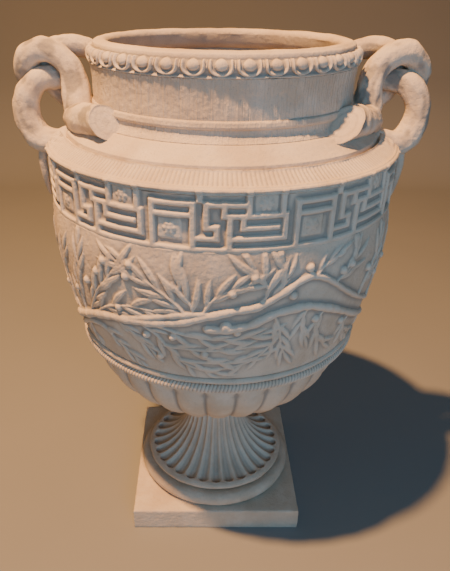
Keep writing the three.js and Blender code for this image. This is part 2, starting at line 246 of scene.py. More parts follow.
class Nodes:
    """A short way to write a material's node tree."""

    def __init__(self, name):
        self.material = bpy.data.materials.new(name)
        self.material.use_nodes = True
        self.tree = self.material.node_tree
        self.shader = self.tree.nodes["Principled BSDF"]
        self.place = self.add("ShaderNodeTexCoord").outputs["Object"]

    def add(self, kind, **settings):
        node = self.tree.nodes.new(kind)
        for key, value in settings.items():
            setattr(node, key, value)
        return node

    def link(self, source, target):
        self.tree.links.new(source, target)

    def noise(self, scale, detail=4.0, stretch=None):
        node = self.add("ShaderNodeTexNoise")
        node.inputs["Scale"].default_value = scale
        node.inputs["Detail"].default_value = detail
        source = self.place
        if stretch:
            mapping = self.add("ShaderNodeMapping")
            mapping.inputs["Scale"].default_value = stretch
            self.link(source, mapping.inputs["Vector"])
            source = mapping.outputs["Vector"]
        self.link(source, node.inputs["Vector"])
        return node.outputs["Fac"]

    def ranged(self, value, low, high, to_low=0.0, to_high=1.0):
        node = self.add("ShaderNodeMapRange")
        node.inputs["From Min"].default_value = low
        node.inputs["From Max"].default_value = high
        node.inputs["To Min"].default_value = to_low
        node.inputs["To Max"].default_value = to_high
        self.link(value, node.inputs["Value"])
        return node.outputs["Result"]

    def mix(self, factor, first, second, blend="MIX"):
        node = self.add("ShaderNodeMix", data_type="RGBA", blend_type=blend)
        self.link(factor, node.inputs["Factor"])
        for value, socket in ((first, node.inputs["A"]), (second, node.inputs["B"])):
            if isinstance(value, tuple):
                socket.default_value = (*value, 1.0)
            else:
                self.link(value, socket)
        return node.outputs["Result"]

    def maths(self, operation, first, second):
        node = self.add("ShaderNodeMath", operation=operation)
        for value, socket in ((first, node.inputs[0]), (second, node.inputs[1])):
            if isinstance(value, (int, float)):
                socket.default_value = value
            else:
                self.link(value, socket)
        return node.outputs["Value"]


CHALK = (0.70, 0.63, 0.53)
BISCUIT = (0.56, 0.475, 0.375)
# The dark dust colour is used for dust specks and for painted shade in crevices. The pale bloom colour is
# used for pale clouds and for painted highlights on raised edges.
DUST_AND_SHADE = (0.26, 0.25, 0.235)
BLOOM_AND_HIGHLIGHT = (0.78, 0.72, 0.63)


def clay(name, grain=1.0, tooling=0.0, warmth=0.5):
    """Matte fired clay: mottled colour, dust specks, painted shade in the crevices, painted highlight on
    raised edges and a pitted skin.
    """
    n = Nodes(name)
    mottle = n.ranged(n.noise(13.0, 8.0), 0.38, 0.62)
    colour = n.mix(n.ranged(mottle, 0, 1, warmth - 0.35, warmth + 0.35), CHALK, BISCUIT)
    cloud = n.ranged(n.noise(34.0, 5.0), 0.5, 0.75, 0.0, 0.4)
    colour = n.mix(cloud, colour, BLOOM_AND_HIGHLIGHT)
    freckle = n.ranged(n.noise(520.0, 2.0), 0.58, 0.72, 0.0, 0.35)
    colour = n.mix(freckle, colour, DUST_AND_SHADE)
    relief_shading = n.add("ShaderNodeAttribute", attribute_name="relief_shading").outputs["Fac"]
    # Painted shade: crevices are darkened towards the dark dust colour.
    painted_crevice_shade = n.ranged(relief_shading, -0.1, -1.2, 0.0, 0.7)
    colour = n.mix(painted_crevice_shade, colour, DUST_AND_SHADE)
    # Painted highlight: raised edges are lightened towards the pale bloom colour.
    edge = n.ranged(relief_shading, 0.25, 1.6, 0.0, 0.4)
    colour = n.mix(edge, colour, BLOOM_AND_HIGHLIGHT)
    n.link(colour, n.shader.inputs["Base Color"])
    n.link(n.ranged(n.noise(60.0), 0.3, 0.7, 0.84, 0.98), n.shader.inputs["Roughness"])
    n.shader.inputs["Specular IOR Level"].default_value = 0.25
    pits = n.maths("MULTIPLY", n.noise(900.0, 3.0), 0.35)
    dabs = n.maths("ADD", n.noise(170.0, 4.0), pits)
    if tooling:
        strokes = n.maths("MULTIPLY", n.noise(1.0, 3.0, (420.0, 420.0, 22.0)), tooling)
        dabs = n.maths("ADD", dabs, strokes)
    bump = n.add("ShaderNodeBump")
    bump.inputs["Strength"].default_value = 0.5 * grain
    bump.inputs["Distance"].default_value = 0.0026
    n.link(dabs, bump.inputs["Height"])
    n.link(bump.outputs["Normal"], n.shader.inputs["Normal"])
    return n.material


CLAY_BODY = clay("body_clay", 0.9, 0.3, 0.5)
CLAY_RELIEF = clay("relief_clay", 0.8, 0.0, 0.45)
CLAY_NECK = clay("neck_clay", 1.1, 1.4, 0.55)
CLAY_FOOT = clay("foot_clay", 1.0, 0.0, 0.6)
CLAY_BRANCH = clay("branch_clay", 1.3, 0.0, 0.5)
CLAY_PLINTH = clay("plinth_clay", 1.2, 0.0, 0.62)

# ---------------------------------------------------------------- foot and bowl


def make_plinth():
    """The square slab, with soft chipped edges."""
    low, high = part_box("plinth")
    half = high.x / MM
    tall = high.z / MM
    side = 96
    layers = [
        (half - 1.6, 0.0),
        (half - 0.4, 1.4),
        (half - 0.4, tall - 3.2),
        (half - 1.4, tall - 1.1),
        (half - 4.0, tall - 0.3),
    ]
    rows = resample(layers, 4.0)
    along = np.linspace(-1, 1, side, endpoint=False)
    one = np.ones(side)
    square = np.concatenate([
        np.stack([along, -one], 1),
        np.stack([one, along], 1),
        np.stack([-along, one], 1),
        np.stack([-one, -along], 1),
    ])
    ring = square[None] * rows[:, :1, None]
    points = np.concatenate([ring, np.repeat(rows[:, 1][:, None], len(square), 1)[..., None]], -1)
    inward = np.clip(0.5 + 0.5 * unevenness(points, FINE_WAVES), 0, 1.3) * 0.55
    inward[0] = 0
    points[..., :2] -= square[None] * inward[..., None]
    count = len(square)
    faces = list(grid_faces(len(rows), count, False))
    faces.append(np.arange(count)[::-1])
    top_rings = 12
    inner = [1.0 - k / top_rings for k in range(1, top_rings)]
    vertices = [points.reshape(-1, 3)]
    last = points[-1]
    base = (len(rows) - 1) * count
    for k, scale in enumerate(inner):
        level = last * [scale, scale, 1.0]
        level[:, 2] = tall - 0.5 + 0.2 * unevenness(level, FINE_WAVES)
        vertices.append(level)
        start = len(rows) * count + k * count
        here = np.arange(count)
        after = (here + 1) % count
        faces.extend(np.stack([base + here, base + after, start + after, start + here], 1))
        base = start
    faces.append(base + np.arange(count))
    made = make_mesh("plinth_slab", np.vstack(vertices), faces, CLAY_PLINTH)
    made.data.set_sharp_from_angle(angle=math.radians(50))
    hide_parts("plinth")
    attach(made, "root")


FLUTES = 30
GADROONS = 28


def hollow_flutes(angles, radius, height):
    """Hollows that narrow up the trumpet, with sharp ribs between and round ends at the foot."""
    end_radius = 136.0
    start = 98.0
    high = top("fluted_socle") - 8
    across = np.abs(np.sin(FLUTES * angles / 2))
    hollow = 1 - across ** 3
    half_pitch = math.pi * radius / FLUTES
    sideways = np.abs((((angles * FLUTES / FULL_TURN) + 0.5) % 1) - 0.5) * 2 * half_pitch
    end = np.clip((end_radius - radius) / half_pitch, 0, 1)
    reach_here = half_pitch * np.sqrt(1 - (1 - end) ** 2)
    inside = np.clip((reach_here - sideways) / (0.14 * half_pitch + 0.1), 0, 1)
    fade = np.clip((high - height) / 12, 0, 1) * (height >= start)
    return -6.5 * np.sqrt(radius / 140) * hollow * inside ** 0.6 * fade


def gadroons(angles, radius, height):
    """Swelling lobes up the bowl that end in round heads below the plain collar."""
    head = 404.0
    base = foot("gadrooned_bowl") + 4
    lobe = np.abs(np.cos(GADROONS * angles / 2))
    close = np.clip((head - height) / 12, 0, 1) ** 0.5
    fade = close * np.clip((height - base) / 20, 0, 1)
    return -7.0 * (1 - lobe ** 0.75) * fade * np.sqrt(radius / 240)


def make_foot():
    """The rounded ring on the plinth, the fluted trumpet, and the bead under the bowl."""
    torus_low, torus_high = foot("base_torus"), top("base_torus")
    torus_radius = reach("base_torus")
    middle = (torus_low + torus_high) / 2
    half = (torus_high - torus_low) / 2
    turned(
        "foot_torus", "base_torus",
        [(120, torus_low)] + ellipse((torus_radius - 14, middle), (13.8, half), -90, 90, 24),
        [(120, torus_high)], CLAY_FOOT, 360, step=1.6,
    )
    low, high = foot("fluted_socle"), top("fluted_socle")
    trumpet = ellipse((138, high), (88, high - 98), -90, -180, 44)
    turned(
        "socle_trumpet", "fluted_socle",
        [(128, low), (139, low + 0.5), (140, 86), (145.6, 87.5), (146, 93), (143, 96)] + trumpet,
        [(20, high - 1), (20, low + 1)], CLAY_FOOT, FLUTES * 28, relief=hollow_flutes, step=1.6,
    )
    low, high = foot("foot_collar"), top("foot_collar")
    middle, half = (low + high) / 2, (high - low) / 2
    turned(
        "foot_bead", "foot_collar",
        [(30, low)] + ellipse((reach("foot_collar") - 6, middle), (5.8, half), -90, 90, 14),
        [(30, high)], CLAY_FOOT, 240, step=1.2,
    )


def make_bowl():
    """The hollow lower bowl, with its lobes outside."""
    low, high = foot("gadrooned_bowl"), top("gadrooned_bowl")
    radius = reach("gadrooned_bowl") - 1.2
    wall = 22
    outside = ellipse((0, 408), (radius, 408 - low), -76, -2, 60)
    inside = ellipse((0, high), (radius - wall, high - low - wall), 0, -86, 20)
    turned(
        "bowl_lobes", "gadrooned_bowl",
        [(20, low), (54, low)] + outside + [(radius - 0.5, 412), (radius - 0.5, high)],
        inside + [(12, 271)], CLAY_BODY, GADROONS * 40, relief=gadroons, step=1.8,
    )


def make_rope():
    """The twisted moulding: two strands laid round each other."""
    low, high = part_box("rope_moulding")
    centre_z = (low.z + high.z) / 2 / MM
    tube = (high.z - low.z) / 2 / MM
    ring = high.x / MM - tube
    columns, sides = 2600, 18
    twists = 132
    round_angle = np.arange(columns)[None, :] * FULL_TURN / columns
    side = np.arange(sides)[:, None] * FULL_TURN / sides
    lobe = np.abs(np.cos(side - round_angle * twists))
    radius = tube * (0.76 + 0.24 * lobe ** 0.6)
    out = radius * np.cos(side)
    up = radius * np.sin(side)
    total = ring + out
    vertices = np.stack([total * np.sin(round_angle), -total * np.cos(round_angle), centre_z + up], -1)
    # Painted highlight on the strands' crowns and painted shade between them.
    relief_shading = (lobe - 0.6) * 2.2
    faces = grid_faces(sides, columns, True)
    made = make_mesh("rope_twist", vertices.reshape(-1, 3), faces, CLAY_RELIEF, {"relief_shading": relief_shading})
    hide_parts("rope_moulding")
    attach(made, "root")


def make_ridge():
    """The plain rounded ring above the rope."""
    low, high = foot("ridge_ring"), top("ridge_ring")
    middle, half = (low + high) / 2, (high - low) / 2
    radius = reach("ridge_ring")
    turned(
        "plain_ridge", "ridge_ring",
        [(216, low), (240, low)] + ellipse((radius - 7, middle), (6.8, half), -90, 90, 14),
        [(216, high)], CLAY_BODY, 720, step=1.4,
    )


make_plinth()
make_foot()
make_bowl()
make_rope()
make_ridge()

# ---------------------------------------------------------------- frieze of olive boughs


RELIEF_RADIUS = 281.0


class Canvas:
    """Heights of relief on the frieze wall, unrolled: degrees round and millimetres up."""

    def __init__(self, columns, heights, radius):
        self.columns = columns
        self.heights = heights
        self.pitch = FULL_TURN * radius / columns
        self.per_degree = FULL_TURN * radius / 360.0
        self.field = np.zeros((len(heights), columns))

    def window(self, x, z, size):
        """Rows and columns near a point, with each cell's offset from it in millimetres."""
        rows = np.flatnonzero(np.abs(self.heights - z) <= size)
        if not len(rows):
            return None
        first = math.ceil((x - size) / self.pitch)
        last = math.floor((x + size) / self.pitch)
        columns = np.arange(first, last + 1)
        across = columns * self.pitch - x
        return rows, columns % self.columns, across[None, :], (self.heights[rows] - z)[:, None]

    def dab(self, x, z, size, height, squareness=2.0):
        """A domed dab of clay, kept where it stands above what is there."""
        found = self.window(x, z, size)
        if found is None:
            return
        rows, columns, across, up = found
        dome = 1 - ((across ** 2 + up ** 2) / size ** 2) ** (squareness / 2)
        value = height * np.sqrt(np.clip(dome, 0, 1))
        block = np.ix_(rows, columns)
        self.field[block] = np.maximum(self.field[block], value)

    def cut(self, x, z, size, depth):
        """A soft groove pressed into what is there."""
        found = self.window(x, z, size * 2)
        if found is None:
            return
        rows, columns, across, up = found
        block = np.ix_(rows, columns)
        press = depth * np.exp(-(across ** 2 + up ** 2) / (size * 0.7) ** 2)
        self.field[block] = np.maximum(self.field[block] - press * 0.5, 0)

    def stem(self, path, thick, thin, lift=1.0):
        """A round stem along (degrees, height) points that thins towards its end, with knots."""
        points = [(angle * self.per_degree, height) for angle, height in path]
        length = np.linalg.norm(np.diff(points, axis=0), axis=1).sum()
        line = smooth_path(points, max(8, int(length / 1.4)))
        for k, (x, z) in enumerate(line):
            t = k / (len(line) - 1)
            size = thick + (thin - thick) * t
            size *= 1 + 0.09 * math.sin(x * 0.11 + z * 0.07) + 0.05 * math.sin(x * 0.31)
            self.dab(x, z, size, size * lift)
        return line

    def leaf(self, x, z, heading, length, width, bend=0.0, height=3.1):
        """A lance-shaped leaf from its foot, with a sunk midrib; angles in degrees, 90 is up."""
        steps = max(10, int(length / 1.3))
        spine = []
        for k in range(steps + 1):
            t = k / steps
            spine.append((x, z, t))
            turn = math.radians(heading + bend * t)
            x += math.cos(turn) * length / steps
            z += math.sin(turn) * length / steps
        for px, pz, t in spine:
            broad = max(0.9, width / 2 * math.sin(math.pi * min(1, 0.06 + 0.94 * t)) ** 0.75)
            self.dab(px, pz, broad, height * (0.5 + 0.5 * math.sin(math.pi * t)), 4.0)
        for px, pz, t in spine[2:-2]:
            self.cut(px, pz, 0.9, 1.5)

    def olive(self, x, z, size):
        """One fruit: a tall round dab."""
        self.dab(x, z, size, size * 0.95)


# Each bough and twig: (degrees, height) points, thickness at its start and end.
BOUGHS = [
    ([(-66, 486), (-56, 506), (-47, 526), (-38, 538), (-28, 546), (-19, 553), (-11, 563), (-4, 575),
      (3, 584), (9, 589), (13, 598), (17, 610), (21, 622), (25, 629)], 8.4, 6.4),
    ([(-30, 548), (-23, 558), (-17, 567), (-12, 573), (-5, 578)], 6.0, 5.0),
    ([(-5, 551), (1, 552), (7, 557), (11, 566), (15, 574), (20, 578), (25, 578), (31, 569),
      (37, 556), (44, 538), (51, 520), (58, 504), (66, 490)], 8.0, 5.8),
    ([(25, 629), (30, 620), (35, 604), (40, 586), (47, 564), (56, 540), (66, 520)], 5.0, 4.0),
    ([(-64, 470), (-57, 490), (-51, 503), (-45, 506), (-41, 499)], 6.6, 4.4),
]

# Each twig: points, leaves along it, leaf length, and the side its leaves start on.
TWIGS = [
    ([(-27, 544), (-22, 530), (-19, 512), (-16, 494), (-13, 478), (-8, 466), (-2, 460)], 9, 34, 1),
    ([(-46, 506), (-40, 492), (-35, 476), (-30, 458)], 7, 32, 1),
    ([(15, 570), (17, 548), (18, 528), (19, 508), (21, 490)], 8, 36, -1),
    ([(17, 528), (14, 508), (11, 492), (6, 478), (0, 470)], 7, 34, 1),
    ([(-11, 572), (-15, 594), (-20, 612), (-26, 628), (-33, 642)], 10, 44, 1),
    ([(-9, 574), (-10, 592), (-13, 614), (-13, 636)], 7, 44, -1),
    ([(-6, 580), (-4, 598), (0, 614), (6, 626)], 7, 46, 1),
    ([(9, 592), (12, 608), (11, 628), (8, 648)], 7, 44, -1),
    ([(12, 596), (16, 616), (17, 636), (16, 654)], 6, 36, 1),
    ([(-46, 530), (-40, 552), (-33, 566), (-24, 572), (-17, 566)], 8, 40, 1),
    ([(-50, 524), (-46, 552), (-42, 580), (-37, 606), (-33, 632)], 10, 44, -1),
    ([(-54, 514), (-54, 546), (-53, 576), (-51, 606), (-50, 636)], 9, 44, 1),
    ([(-20, 545), (-12, 536), (-3, 531), (6, 533), (13, 540)], 8, 36, -1),
    ([(-19, 510), (-10, 508), (0, 509), (9, 515)], 6, 36, 1),
    ([(-14, 484), (-5, 482), (5, 486), (13, 496)], 6, 34, -1),
    ([(-38, 538), (-32, 524), (-27, 508), (-24, 490)], 7, 34, -1),
    ([(33, 566), (31, 546), (31, 524), (34, 502), (38, 484)], 8, 38, 1),
    ([(26, 578), (25, 560), (25, 540), (27, 520)], 6, 32, -1),
    ([(35, 606), (40, 620), (43, 636), (43, 652)], 7, 38, -1),
    ([(27, 628), (30, 641), (35, 652)], 5, 30, 1),
    ([(50, 556), (54, 580), (57, 606), (58, 634)], 9, 42, 1),
    ([(48, 528), (47, 508), (49, 490), (53, 472)], 7, 36, -1),
    ([(-60, 500), (-64, 526), (-66, 552), (-65, 580), (-62, 610)], 9, 42, 1),
    ([(-54, 498), (-55, 480), (-53, 462)], 5, 32, -1),
    ([(62, 528), (68, 558), (73, 588), (76, 620)], 9, 42, -1),
    ([(62, 498), (66, 480), (71, 464)], 5, 34, 1),
    ([(-66, 488), (-72, 512), (-76, 540), (-78, 572), (-78, 604)], 9, 42, 1),
    ([(66, 520), (75, 512), (84, 510), (93, 516)], 7, 38, -1),
    ([(78, 552), (86, 576), (92, 602), (96, 630)], 9, 42, 1),
]

# Each olive: (degrees, height).
OLIVES = [
    (-37.5, 636), (-29.5, 621), (-28.0, 641), (-16, 529), (-13.5, 558), (20, 601), (24.5, 641), (37.5, 622),
    (-34, 562), (-47, 588), (4, 545), (-25, 524), (-6, 500), (41, 628), (-55, 560), (52, 604), (30, 548),
    (-21, 486), (60, 580), (-66, 548), (8, 636), (44, 520), (-41, 614), (2, 612), (70, 590), (84, 556),
]


def grow_twig(canvas, path, leaves, length, side, turn, draw):
    """A thin twig with leaves on alternate sides and one at its tip."""
    line = canvas.stem([(angle + turn, height) for angle, height in path], 2.7, 1.6, 1.25)
    for k in range(leaves):
        t = 0.12 + 0.86 * k / (leaves - 1)
        index = min(len(line) - 2, int(t * (len(line) - 1)))
        x, z = line[index]
        ahead = line[index + 1] - line[index]
        heading = math.degrees(math.atan2(ahead[1], ahead[0]))
        last = k == leaves - 1
        lean = 0 if last else side * (-1) ** k * draw.uniform(20, 42)
        bend = draw.uniform(-22, 22) if last else -math.copysign(draw.uniform(10, 36), lean)
        size = length * draw.uniform(0.95, 1.3)
        canvas.leaf(x, z, heading + lean, size, size * draw.uniform(0.17, 0.21), bend)


def frieze_relief(angles, radius, height):
    """Olive boughs entwined round the wall: the same spray in front and behind."""
    heights = height[:, 0]
    canvas = Canvas(angles.shape[1], heights, RELIEF_RADIUS)
    for turn in (0, 180):
        draw = np.random.default_rng(SEED + 5)
        for path, leaves, length, side in TWIGS:
            grow_twig(canvas, path, leaves, length, side, turn, draw)
        for angle, z in OLIVES:
            canvas.olive((angle + turn) * canvas.per_degree, z, 6.6)
        for path, thick, thin in BOUGHS:
            canvas.stem([(angle + turn, z) for angle, z in path], thick, thin, 0.95)
        canvas.dab((turn + 0.5) * canvas.per_degree, 555, 11, 8.4)
    field = canvas.field * 0.6 + blurred(canvas.field, 1) * 0.4
    fade = np.clip((heights - heights[0]) / 6, 0, 1) * np.clip((heights[-1] - heights) / 5, 0, 1)
    return field * fade[:, None]


def make_frieze():
    """The tapering wall with the boughs raised on it, as one skin."""
    low, high = foot("frieze_wall"), top("frieze_wall")
    outline = smooth_path([(254, low), (265, 490), (275, 540), (282.6, 590), (285.5, 634), (283, high)], 180)
    inner = [(radius - 22, height) for radius, height in outline[::-20]]
    turned("olive_frieze", "frieze_wall", outline, inner, CLAY_BODY, 1440, relief=frieze_relief, step=3.0)


# ---------------------------------------------------------------- key band

KEY_PITCH = 40.0
KEY_START = 10.5
EDGE = 757.0
TOP_LINE = 736.5
MIDDLE_LINE = 721.5
LOW_LINE = 705.5
BASE_LINE = 690.5
SKIRT = 676.0

# One repeat of the key, in degrees from a high panel's middle: uprights and level bars.
UPRIGHTS = [
    (-19.7, SKIRT, 740.5),
    (-16.1, 702.0, 740.5),
    (-13.3, 687.0, 709.0),
    (-11.3, 719.0, 740.5),
    (-9.8, SKIRT, 725.0),
    (-6.2, 702.0, 725.0),
    (-4.8, 719.0, EDGE),
    (4.5, 719.0, EDGE),
    (5.4, 687.0, 725.0),
    (8.9, SKIRT, 740.5),
    (-17.9, 739.0, EDGE),
]
LEVELS = [
    (-19.7, -13.3, BASE_LINE),
    (-16.1, -13.3, LOW_LINE),
    (-16.1, -4.8, TOP_LINE),
    (-11.3, 5.4, MIDDLE_LINE),
    (-9.8, 5.4, BASE_LINE),
    (-6.2, 3.1, LOW_LINE),
    (8.9, 20.3, TOP_LINE),
    (8.9, 20.3, MIDDLE_LINE),
]
HIGH_PANEL = (-0.15, 737.5)
LOW_PANEL = (13.8, 702.0)


def bar_height(distance_x, distance_z, half_x, half_z, soft):
    """A raised bar with rounded edges, 1 on its top and 0 beside it."""
    outside = np.hypot(np.maximum(distance_x - half_x, 0), np.maximum(distance_z - half_z, 0))
    return np.clip(1 - outside / soft, 0, 1)


def rosette(x, z):
    """A small flower: six hollow petals round a bead."""
    distance = np.hypot(x, z)
    petal = 0.55 + 0.45 * np.abs(np.cos(3 * np.arctan2(z, x)))
    edge = distance / (10.5 * petal)
    petals = np.clip(1 - edge ** 4, 0, 1) * (0.45 + 0.55 * np.clip(edge, 0, 1) ** 2)
    bead = np.clip(1 - (distance / 2.8) ** 2, 0, 1)
    return np.maximum(petals, bead ** 0.5)


def round_offset(unit, centre):
    """Degrees from a centre line of the repeat, from minus to plus half a repeat."""
    return (unit - centre + KEY_PITCH / 2) % KEY_PITCH - KEY_PITCH / 2


def key_relief(angles, radius, height):
    """A meander of flat raised strips, with rosette panels set high and low in turn."""
    unit = np.degrees(angles) - KEY_START
    per_degree = FULL_TURN * RELIEF_RADIUS / 360.0
    half_upright = 3.7
    half_level = 3.2
    soft = 1.3
    field = np.zeros(angles.shape)
    for centre, start, end in UPRIGHTS:
        beside = np.abs(round_offset(unit, centre)) * per_degree
        above = np.abs(height - (start + end) / 2)
        field = np.maximum(field, bar_height(beside, above, half_upright, (end - start) / 2, soft))
    for start, end, level in LEVELS:
        beside = np.abs(round_offset(unit, (start + end) / 2)) * per_degree
        half = (end - start) / 2 * per_degree + half_upright
        field = np.maximum(field, bar_height(beside, np.abs(height - level), half, half_level, soft))
    field = np.maximum(field, np.clip((SKIRT + 3.5 - height) / soft, 0, 1))
    depth = 5.2 * field
    for (centre, level), half_tall in ((HIGH_PANEL, 11.5), (LOW_PANEL, 14.0)):
        x = round_offset(unit, centre) * per_degree
        z = height - level
        square = bar_height(np.abs(x), np.abs(z), 15.5, half_tall, soft)
        depth = np.maximum(depth, square * (2.0 + 3.0 * rosette(x, z)))
    return blurred(depth, 1)


def make_key_band():
    """The straight band that carries the key pattern."""
    low, high = foot("meander_band"), top("meander_band")
    ground = 278.4
    turned(
        "key_band", "meander_band",
        [(270, low), (ground, low + 0.4), (ground + 0.3, high - 0.4), (270, high)],
        [(260.5, high), (260.5, low)], CLAY_RELIEF, 1800, relief=key_relief, step=1.15,
    )


# ---------------------------------------------------------------- shoulder, neck and rim

SHOULDER_RIBS = 270


def shoulder_relief(angles, radius, height):
    """Fine ribs outside the groove, key uprights that run up over the edge, and the handles' mounds."""
    ribs = np.abs(np.sin(angles * SHOULDER_RIBS / 2)) ** 0.8
    band = np.clip((radius - 254) / 2.5, 0, 1) * np.clip((277 - radius) / 2.5, 0, 1) * (height > 757)
    unit = np.degrees(angles) - KEY_START
    edge_radius = 284.0
    per_degree = FULL_TURN * edge_radius / 360.0
    tongue = np.zeros(angles.shape)
    for centre, start, end in UPRIGHTS:
        if end == EDGE:
            beside = np.abs(round_offset(unit, centre)) * per_degree
            tongue = np.maximum(tongue, np.clip((5.0 - beside) / 1.3, 0, 1))
    tongue = tongue * np.clip((EDGE + 0.5 - height) / 1.5, 0, 1)
    from_side = np.abs(np.abs((np.degrees(angles) + 180) % 360 - 180) - 80)
    mound = np.exp(-(from_side / 8) ** 2)
    mound = mound * np.clip((radius - 216) / 12, 0, 1) * np.clip((282 - radius) / 10, 0, 1)
    knobbly = 0.75 + 0.25 * np.sin(angles * 61 + radius * 0.23) * np.sin(radius * 0.31 - angles * 17)
    return -1.5 * (1 - ribs) * band + 1.6 * tongue + 7.5 * mound * knobbly * (height > 757)


def make_shoulder():
    """The sloping shoulder, with two fillets at its edge and a groove inside the ribs."""
    low, high = foot("shoulder"), top("shoulder")
    edge = reach("shoulder")
    lower_fillet = [
        (276, low),
        (281.5, low),
        (283.2, low + 1.4),
        (281.8, low + 2.8),
        (281.8, low + 3.6),
    ]
    upper_fillet = [
        (edge - 1, low + 4.6),
        (edge - 0.4, low + 6.6),
        (edge - 2.0, low + 9.0),
        (281.4, low + 9.6),
        (279.6, low + 11.2),
        (277.4, low + 10.6),
    ]
    groove = [(255.4, 771.4), (253.6, 773.8), (252.4, 768.4), (248.6, 769.4), (247.2, 776.8)]
    slope = [(236, 783.2), (217.5, high)]
    turned(
        "shoulder_slope", "shoulder",
        lower_fillet + upper_fillet + groove + slope,
        [(191, high), (250, 762), (262, low)], CLAY_BODY, 1620, relief=shoulder_relief, step=1.2,
    )


def tooling(angles, radius, height):
    """Light upright strokes left by a dry brush or a toothed scraper."""
    combs = ((311, 0.3), (197, 2.1), (463, 4.0), (89, 1.2))
    strokes = sum(np.sin(angles * count + phase) for count, phase in combs)
    wander = np.sin(angles * 37 + height * 0.11) * np.sin(angles * 23 - height * 0.07)
    return 0.16 * strokes * (0.7 + 0.3 * wander)


def bead_ticks(angles, radius, height):
    """Small slanting nicks along the bead."""
    ticks = np.abs(np.sin(angles * 150 + height * 0.5)) ** 0.7
    return -0.5 * (1 - ticks) * np.clip((radius - 207) / 2, 0, 1)


def make_neck():
    """The plain neck and the low bead round it."""
    low, high = foot("neck"), top("neck")
    corners = [(214, low), (206.4, 803), (204.6, 812), (204.4, 830), (203.6, 850), (205.4, high)]
    outline = smooth_path(corners, 60)
    inner = [(186, high), (186, (low + high) / 2), (190, low)]
    turned("neck_wall", "neck", outline, inner, CLAY_NECK, 1440, relief=tooling, step=1.6)
    low, high = foot("neck_ridge"), top("neck_ridge")
    middle, half = (low + high) / 2, (high - low) / 2
    seat = reach("neck_ridge") - 7
    outline = [(seat, low)] + ellipse((seat, middle - 1), (3.4, half - 1.4), -84, -6, 7)
    outline += ellipse((seat - 1.0, middle + 1), (3.6, half - 1.4), 6, 84, 7) + [(seat, high)]
    turned(
        "neck_bead", "neck_ridge", outline, [], CLAY_NECK, 900,
        relief=bead_ticks, step=0.9, unevenness_mm=0.2,
    )


EGGS = 36
EGG_PHASE = math.radians(-2.6)


def egg_and_dart(angles, radius, height):
    """Domed eggs held in thick U-shaped shells that nearly touch, open at the top, with nicks between."""
    per_radian = 210.0
    pitch = FULL_TURN / EGGS
    half_pitch = pitch / 2 * per_radian
    x = np.abs((angles - EGG_PHASE + pitch / 2) % pitch - pitch / 2) * per_radian
    egg_centre = 891.5
    egg = np.hypot(x / 9.0, (height - egg_centre) / np.where(height < egg_centre, 9.5, 8.5))
    dome = np.sqrt(np.clip(1 - egg ** 2, 0, 1))
    shell_centre = 890.0
    below = np.maximum(shell_centre - height, 0)
    shell = ((x / 15.0) ** 2.6 + (below / 13.6) ** 2.6) ** (1 / 2.6)
    ridge = np.clip(1 - np.abs(shell - 0.93) / 0.17, 0, 1) ** 0.5
    opened = np.clip((900.0 - height) / 3, 0, 1)
    dart = np.clip(1 - np.abs(x - half_pitch) / 1.2, 0, 1) * np.clip((height - 884) / 4, 0, 1)
    pattern = np.maximum(np.maximum(dome * 5.6, ridge * 5.0 * opened), dart * 3.0 * opened)
    zone = np.clip((height - 874.6) / 1.5, 0, 1) * np.clip((902.0 - height) / 2.5, 0, 1) * (radius > 192)
    return zone * (pattern - 5.2)


def make_rim():
    """The rolled rim, from its foot over the crest and down into the mouth."""
    low, high = foot("egg_and_dart_rim"), top("egg_and_dart_rim")
    outer = reach("egg_and_dart_rim")
    mouth = 176.5
    outline = [(196, low), (206.5, low), (208, low + 0.8)]
    outline += ellipse((outer - 24, low + 11), (23.6, 19.2), -22, 60, 34)
    outline += ellipse((189, high - 9.5), (11.5, 9.2), 70, 100, 8)
    outline += ellipse((mouth + 9, high - 9.2), (9, 8.8), 95, 180, 12)
    outline += [(mouth + 0.6, high - 12)]
    inner = [(mouth + 3, low + 10), (mouth + 8, low)]
    turned("rim_ovolo", "egg_and_dart_rim", outline, inner, CLAY_RELIEF, 1800, relief=egg_and_dart, step=1.05)


make_frieze()
make_key_band()
make_shoulder()
make_neck()
make_rim()

# ---------------------------------------------------------------- branch handles


VIEWER = np.array([0.0, -0.5, 0.87])
SAWN_RINGS = (0.93, 0.8, 0.62, 0.42, 0.2)
ROUNDED_RINGS = (0.5,)


def carried_frames(forward):
    """Two directions square to a line at each of its steps, carried along it without a twist."""
    side = np.cross(forward[0], [0.2, 1.0, 0.1])
    first, second = [], []
    for ahead in forward:
        side = side - ahead * np.dot(side, ahead)
        side /= np.linalg.norm(side)
        first.append(side)
        second.append(np.cross(ahead, side))
    return np.array(first)[:, None, :], np.array(second)[:, None, :]


def end_rounding(count, sawn):
    """The share of its full thickness that a branch has at each step: small at an end that isn't sawn."""
    rounding_steps = 12
    share = np.ones(count)
    steps = np.arange(count)
    for is_sawn, from_end in ((sawn[0], steps), (sawn[1], steps[::-1])):
        if not is_sawn:
            t = np.clip(from_end / rounding_steps, 0, 1)
            share = np.minimum(share, np.sqrt(1 - (1 - t) ** 2) * 0.98 + 0.02)
    return share


